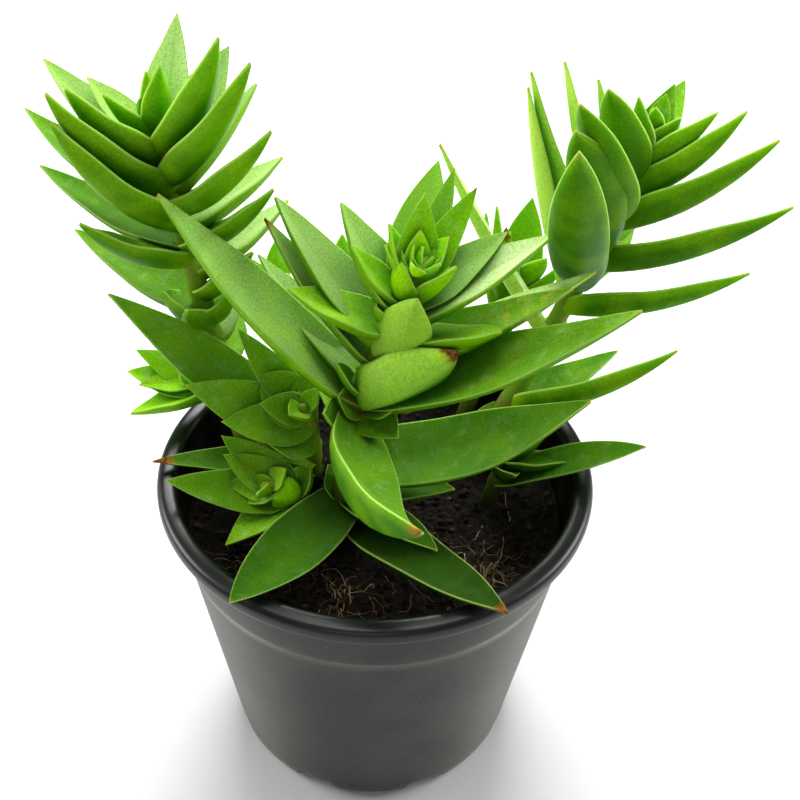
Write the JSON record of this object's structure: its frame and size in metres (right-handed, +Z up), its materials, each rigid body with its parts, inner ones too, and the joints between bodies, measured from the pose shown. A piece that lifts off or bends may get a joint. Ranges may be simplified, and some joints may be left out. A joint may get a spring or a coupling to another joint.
{
  "type": "potted crassula capitella",
  "caption": "Potted succulent with upright stems of stacked fleshy sword leaves and small side rosettes, growing in peat in a round black plastic nursery pot.",
  "frame": {"origin": "middle of the pot's flat underside", "axes": "+Z up out of the pot; the side the plant is usually looked at from faces -Y, so +X is to the right"},
  "size_m": [0.1705, 0.1165, 0.19],
  "materials": {
    "pot_plastic": "thin black moulded plastic, satin on the rolled rim, dusty grey and lightly scuffed on the wall",
    "peat": "loose dark peat with pale root fibres and crumbs",
    "leaf": "fleshy green leaf with a waxy sheen, fine dark dots on its upper face and pale beaded edges"
  },
  "bodies": {
    "root": {"pot": "pot_plastic", "soil": "peat", "shoot_left": "leaf", "shoot_right": "leaf", "shoot_centre": "leaf", "offset_front_left": "leaf", "offset_left": "leaf", "offset_far_left": "leaf", "offset_back_left": "leaf", "offset_back": "leaf", "offset_back_right": "leaf", "offset_right": "leaf"}
  },
  "joints": []
}
